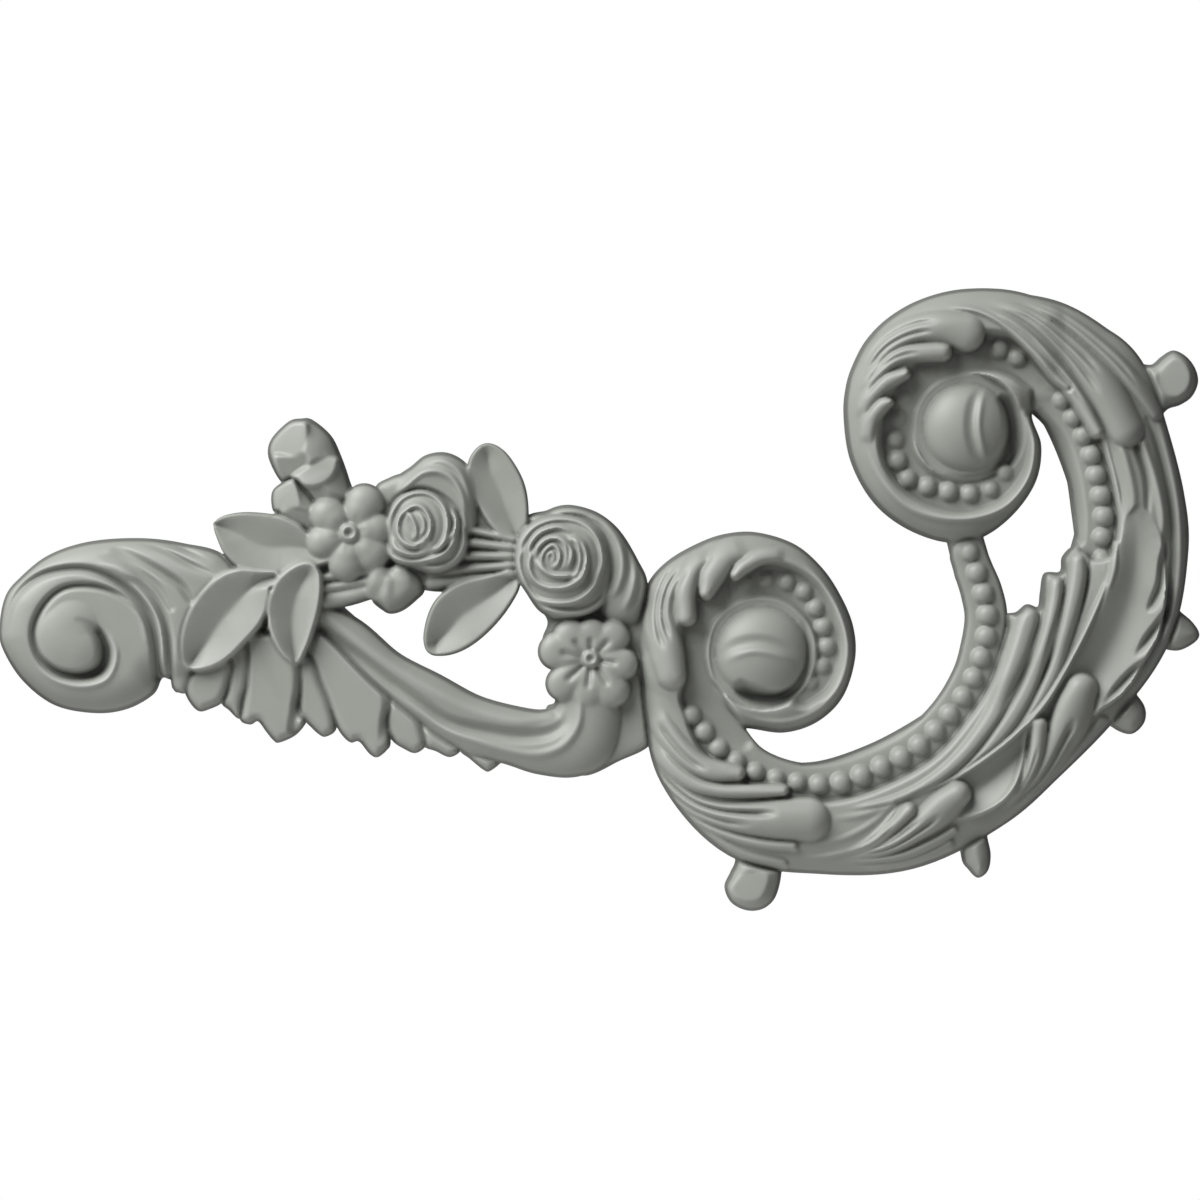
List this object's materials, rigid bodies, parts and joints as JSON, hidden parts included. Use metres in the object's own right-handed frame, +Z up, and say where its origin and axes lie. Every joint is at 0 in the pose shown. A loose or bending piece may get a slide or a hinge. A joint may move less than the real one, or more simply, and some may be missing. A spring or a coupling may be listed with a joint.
{
  "type": "scroll onlay",
  "caption": "Flat-backed carved floral scroll onlay, cast in one piece, to be glued or pinned to furniture, a door, a wall panel or a chimneypiece.",
  "frame": {"origin": "on the flat back face, in the middle of the onlay's length and height, between the large rose and the open flower", "axes": "+X to the right along the length, +Z up, +Y out of the flat back towards the wall; the carving faces -Y"},
  "size_m": [0.5991, 0.031, 0.3108],
  "materials": {
    "satin_paint": "satin grey green primer paint on a dense cast body"
  },
  "bodies": {
    "root": {"scroll_onlay": "satin_paint"}
  },
  "joints": []
}
